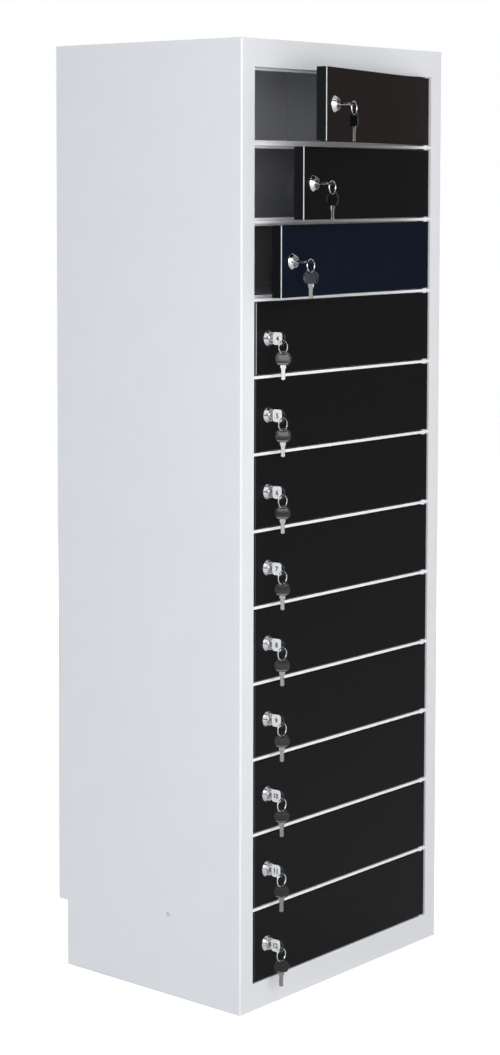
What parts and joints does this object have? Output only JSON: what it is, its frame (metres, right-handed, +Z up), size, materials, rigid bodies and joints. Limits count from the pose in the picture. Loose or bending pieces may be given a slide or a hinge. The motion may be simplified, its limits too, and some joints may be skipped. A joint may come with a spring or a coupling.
{
  "type": "charging locker",
  "caption": "Tall narrow charging locker with a column of hinged doors, each with a cam lock, its key and a spare key on a ring, and a charging module in every compartment.",
  "frame": {"origin": "middle of the cabinet's footprint, 480 mm wide and 365 mm deep, on the floor", "axes": "+Z up; the doors face -Y; +X is to the right of someone who stands in front of the doors"},
  "size_m": [0.48, 0.5075, 1.4],
  "materials": {
    "shell_paint": "satin",
    "inner_paint": "satin",
    "door_paint": "satin",
    "pin_steel": "zinc plated",
    "module_plastic": "matt",
    "unit_plastic": "matt",
    "screw_zinc": "zinc plated",
    "lock_chrome": "polished",
    "key_nickel": "nickel plated",
    "spare_key_nickel": "nickel plated"
  },
  "bodies": {
    "cabinet": {"side_panel_left": "shell_paint", "side_panel_right": "shell_paint", "top_panel": "shell_paint", "base_panel": "shell_paint", "back_cover": "shell_paint", "crossbars": "shell_paint", "rear_partition": "inner_paint", "shelves": "inner_paint", "hinge_pins": "pin_steel", "charging_modules": "module_plastic", "power_unit": "unit_plastic", "cover_screws": "screw_zinc"},
    "door_body_1": {"door_1": "door_paint", "lock_housing_1": "lock_chrome"},
    "key_body_1": {"key_1": "key_nickel"},
    "spare_body_1": {"spare_key_1": "spare_key_nickel"},
    "door_body_2": {"door_2": "door_paint", "lock_housing_2": "lock_chrome"},
    "key_body_2": {"key_2": "key_nickel"},
    "spare_body_2": {"spare_key_2": "spare_key_nickel"},
    "door_body_3": {"door_3": "door_paint", "lock_housing_3": "lock_chrome"},
    "key_body_3": {"key_3": "key_nickel"},
    "spare_body_3": {"spare_key_3": "spare_key_nickel"},
    "door_body_4": {"door_4": "door_paint", "lock_housing_4": "lock_chrome"},
    "key_body_4": {"key_4": "key_nickel"},
    "spare_body_4": {"spare_key_4": "spare_key_nickel"},
    "door_body_5": {"door_5": "door_paint", "lock_housing_5": "lock_chrome"},
    "key_body_5": {"key_5": "key_nickel"},
    "spare_body_5": {"spare_key_5": "spare_key_nickel"},
    "door_body_6": {"door_6": "door_paint", "lock_housing_6": "lock_chrome"},
    "key_body_6": {"key_6": "key_nickel"},
    "spare_body_6": {"spare_key_6": "spare_key_nickel"},
    "door_body_7": {"door_7": "door_paint", "lock_housing_7": "lock_chrome"},
    "key_body_7": {"key_7": "key_nickel"},
    "spare_body_7": {"spare_key_7": "spare_key_nickel"},
    "door_body_8": {"door_8": "door_paint", "lock_housing_8": "lock_chrome"},
    "key_body_8": {"key_8": "key_nickel"},
    "spare_body_8": {"spare_key_8": "spare_key_nickel"},
    "door_body_9": {"door_9": "door_paint", "lock_housing_9": "lock_chrome"},
    "key_body_9": {"key_9": "key_nickel"},
    "spare_body_9": {"spare_key_9": "spare_key_nickel"},
    "door_body_10": {"door_10": "door_paint", "lock_housing_10": "lock_chrome"},
    "key_body_10": {"key_10": "key_nickel"},
    "spare_body_10": {"spare_key_10": "spare_key_nickel"},
    "door_body_11": {"door_11": "door_paint", "lock_housing_11": "lock_chrome"},
    "key_body_11": {"key_11": "key_nickel"},
    "spare_body_11": {"spare_key_11": "spare_key_nickel"},
    "door_body_12": {"door_12": "door_paint", "lock_housing_12": "lock_chrome"},
    "key_body_12": {"key_12": "key_nickel"},
    "spare_body_12": {"spare_key_12": "spare_key_nickel"}
  },
  "joints": [
    {"name": "door_swing_1", "type": "hinge", "parent": "cabinet", "child": "door_body_1", "pos_m": [0.2015, -0.1785, 1.30683], "axis": [0, 0, 1], "range_deg": [-16, 114]},
    {"name": "key_turn_1", "type": "hinge", "parent": "door_body_1", "child": "key_body_1", "pos_m": [-0.16412, -0.2875, 1.30683], "axis": [0.2756, -0.9613, 0], "range_deg": [-180, 0]},
    {"name": "ring_swing_1", "type": "hinge", "parent": "key_body_1", "child": "spare_body_1", "pos_m": [-0.15066, -0.31194, 1.30683], "axis": [0.2756, -0.9613, 0], "range_deg": [0, 180]},
    {"name": "door_swing_2", "type": "hinge", "parent": "cabinet", "child": "door_body_2", "pos_m": [0.2015, -0.1785, 1.1965], "axis": [0, 0, 1], "range_deg": [-11.2, 118.8]},
    {"name": "key_turn_2", "type": "hinge", "parent": "door_body_2", "child": "key_body_2", "pos_m": [-0.17196, -0.25652, 1.1965], "axis": [0.1942, -0.981, 0], "range_deg": [-180, 0]},
    {"name": "ring_swing_2", "type": "hinge", "parent": "key_body_2", "child": "spare_body_2", "pos_m": [-0.16059, -0.282, 1.1965], "axis": [0.1942, -0.981, 0], "range_deg": [0, 180]},
    {"name": "door_swing_3", "type": "hinge", "parent": "cabinet", "child": "door_body_3", "pos_m": [0.2015, -0.1785, 1.08617], "axis": [0, 0, 1], "range_deg": [-6.2, 123.8]},
    {"name": "key_turn_3", "type": "hinge", "parent": "door_body_3", "child": "key_body_3", "pos_m": [-0.17734, -0.22368, 1.08617], "axis": [0.108, -0.9942, 0], "range_deg": [-180, 0]},
    {"name": "ring_swing_3", "type": "hinge", "parent": "key_body_3", "child": "spare_body_3", "pos_m": [-0.16823, -0.25005, 1.08617], "axis": [0.108, -0.9942, 0], "range_deg": [0, 180]},
    {"name": "door_swing_4", "type": "hinge", "parent": "cabinet", "child": "door_body_4", "pos_m": [0.2015, -0.1785, 0.97583], "axis": [0, 0, 1], "range_deg": [0, 130]},
    {"name": "key_turn_4", "type": "hinge", "parent": "door_body_4", "child": "key_body_4", "pos_m": [-0.18, -0.1825, 0.97583], "axis": [0, -1, 0], "range_deg": [-90, 90]},
    {"name": "ring_swing_4", "type": "hinge", "parent": "key_body_4", "child": "spare_body_4", "pos_m": [-0.18, -0.2097, 0.96963], "axis": [0, -1, 0], "range_deg": [-90, 90]},
    {"name": "door_swing_5", "type": "hinge", "parent": "cabinet", "child": "door_body_5", "pos_m": [0.2015, -0.1785, 0.8655], "axis": [0, 0, 1], "range_deg": [0, 130]},
    {"name": "key_turn_5", "type": "hinge", "parent": "door_body_5", "child": "key_body_5", "pos_m": [-0.18, -0.1825, 0.8655], "axis": [0, -1, 0], "range_deg": [-90, 90]},
    {"name": "ring_swing_5", "type": "hinge", "parent": "key_body_5", "child": "spare_body_5", "pos_m": [-0.18, -0.2097, 0.8593], "axis": [0, -1, 0], "range_deg": [-90, 90]},
    {"name": "door_swing_6", "type": "hinge", "parent": "cabinet", "child": "door_body_6", "pos_m": [0.2015, -0.1785, 0.75517], "axis": [0, 0, 1], "range_deg": [0, 130]},
    {"name": "key_turn_6", "type": "hinge", "parent": "door_body_6", "child": "key_body_6", "pos_m": [-0.18, -0.1825, 0.75517], "axis": [0, -1, 0], "range_deg": [-90, 90]},
    {"name": "ring_swing_6", "type": "hinge", "parent": "key_body_6", "child": "spare_body_6", "pos_m": [-0.18, -0.2097, 0.74897], "axis": [0, -1, 0], "range_deg": [-90, 90]},
    {"name": "door_swing_7", "type": "hinge", "parent": "cabinet", "child": "door_body_7", "pos_m": [0.2015, -0.1785, 0.64483], "axis": [0, 0, 1], "range_deg": [0, 130]},
    {"name": "key_turn_7", "type": "hinge", "parent": "door_body_7", "child": "key_body_7", "pos_m": [-0.18, -0.1825, 0.64483], "axis": [0, -1, 0], "range_deg": [-90, 90]},
    {"name": "ring_swing_7", "type": "hinge", "parent": "key_body_7", "child": "spare_body_7", "pos_m": [-0.18, -0.2097, 0.63863], "axis": [0, -1, 0], "range_deg": [-90, 90]},
    {"name": "door_swing_8", "type": "hinge", "parent": "cabinet", "child": "door_body_8", "pos_m": [0.2015, -0.1785, 0.5345], "axis": [0, 0, 1], "range_deg": [0, 130]},
    {"name": "key_turn_8", "type": "hinge", "parent": "door_body_8", "child": "key_body_8", "pos_m": [-0.18, -0.1825, 0.5345], "axis": [0, -1, 0], "range_deg": [-90, 90]},
    {"name": "ring_swing_8", "type": "hinge", "parent": "key_body_8", "child": "spare_body_8", "pos_m": [-0.18, -0.2097, 0.5283], "axis": [0, -1, 0], "range_deg": [-90, 90]},
    {"name": "door_swing_9", "type": "hinge", "parent": "cabinet", "child": "door_body_9", "pos_m": [0.2015, -0.1785, 0.42417], "axis": [0, 0, 1], "range_deg": [0, 130]},
    {"name": "key_turn_9", "type": "hinge", "parent": "door_body_9", "child": "key_body_9", "pos_m": [-0.18, -0.1825, 0.42417], "axis": [0, -1, 0], "range_deg": [-90, 90]},
    {"name": "ring_swing_9", "type": "hinge", "parent": "key_body_9", "child": "spare_body_9", "pos_m": [-0.18, -0.2097, 0.41797], "axis": [0, -1, 0], "range_deg": [-90, 90]},
    {"name": "door_swing_10", "type": "hinge", "parent": "cabinet", "child": "door_body_10", "pos_m": [0.2015, -0.1785, 0.31383], "axis": [0, 0, 1], "range_deg": [0, 130]},
    {"name": "key_turn_10", "type": "hinge", "parent": "door_body_10", "child": "key_body_10", "pos_m": [-0.18, -0.1825, 0.31383], "axis": [0, -1, 0], "range_deg": [-90, 90]},
    {"name": "ring_swing_10", "type": "hinge", "parent": "key_body_10", "child": "spare_body_10", "pos_m": [-0.18, -0.2097, 0.30763], "axis": [0, -1, 0], "range_deg": [-90, 90]},
    {"name": "door_swing_11", "type": "hinge", "parent": "cabinet", "child": "door_body_11", "pos_m": [0.2015, -0.1785, 0.2035], "axis": [0, 0, 1], "range_deg": [0, 130]},
    {"name": "key_turn_11", "type": "hinge", "parent": "door_body_11", "child": "key_body_11", "pos_m": [-0.18, -0.1825, 0.2035], "axis": [0, -1, 0], "range_deg": [-90, 90]},
    {"name": "ring_swing_11", "type": "hinge", "parent": "key_body_11", "child": "spare_body_11", "pos_m": [-0.18, -0.2097, 0.1973], "axis": [0, -1, 0], "range_deg": [-90, 90]},
    {"name": "door_swing_12", "type": "hinge", "parent": "cabinet", "child": "door_body_12", "pos_m": [0.2015, -0.1785, 0.09317], "axis": [0, 0, 1], "range_deg": [0, 130]},
    {"name": "key_turn_12", "type": "hinge", "parent": "door_body_12", "child": "key_body_12", "pos_m": [-0.18, -0.1825, 0.09317], "axis": [0, -1, 0], "range_deg": [-90, 90]},
    {"name": "ring_swing_12", "type": "hinge", "parent": "key_body_12", "child": "spare_body_12", "pos_m": [-0.18, -0.2097, 0.08697], "axis": [0, -1, 0], "range_deg": [-90, 90]}
  ],
  "couplings": [
    {"joint": "ring_swing_1", "follows": "key_turn_1", "ratio": -1},
    {"joint": "ring_swing_2", "follows": "key_turn_2", "ratio": -1},
    {"joint": "ring_swing_3", "follows": "key_turn_3", "ratio": -1},
    {"joint": "ring_swing_4", "follows": "key_turn_4", "ratio": -1},
    {"joint": "ring_swing_5", "follows": "key_turn_5", "ratio": -1},
    {"joint": "ring_swing_6", "follows": "key_turn_6", "ratio": -1},
    {"joint": "ring_swing_7", "follows": "key_turn_7", "ratio": -1},
    {"joint": "ring_swing_8", "follows": "key_turn_8", "ratio": -1},
    {"joint": "ring_swing_9", "follows": "key_turn_9", "ratio": -1},
    {"joint": "ring_swing_10", "follows": "key_turn_10", "ratio": -1},
    {"joint": "ring_swing_11", "follows": "key_turn_11", "ratio": -1},
    {"joint": "ring_swing_12", "follows": "key_turn_12", "ratio": -1}
  ]
}
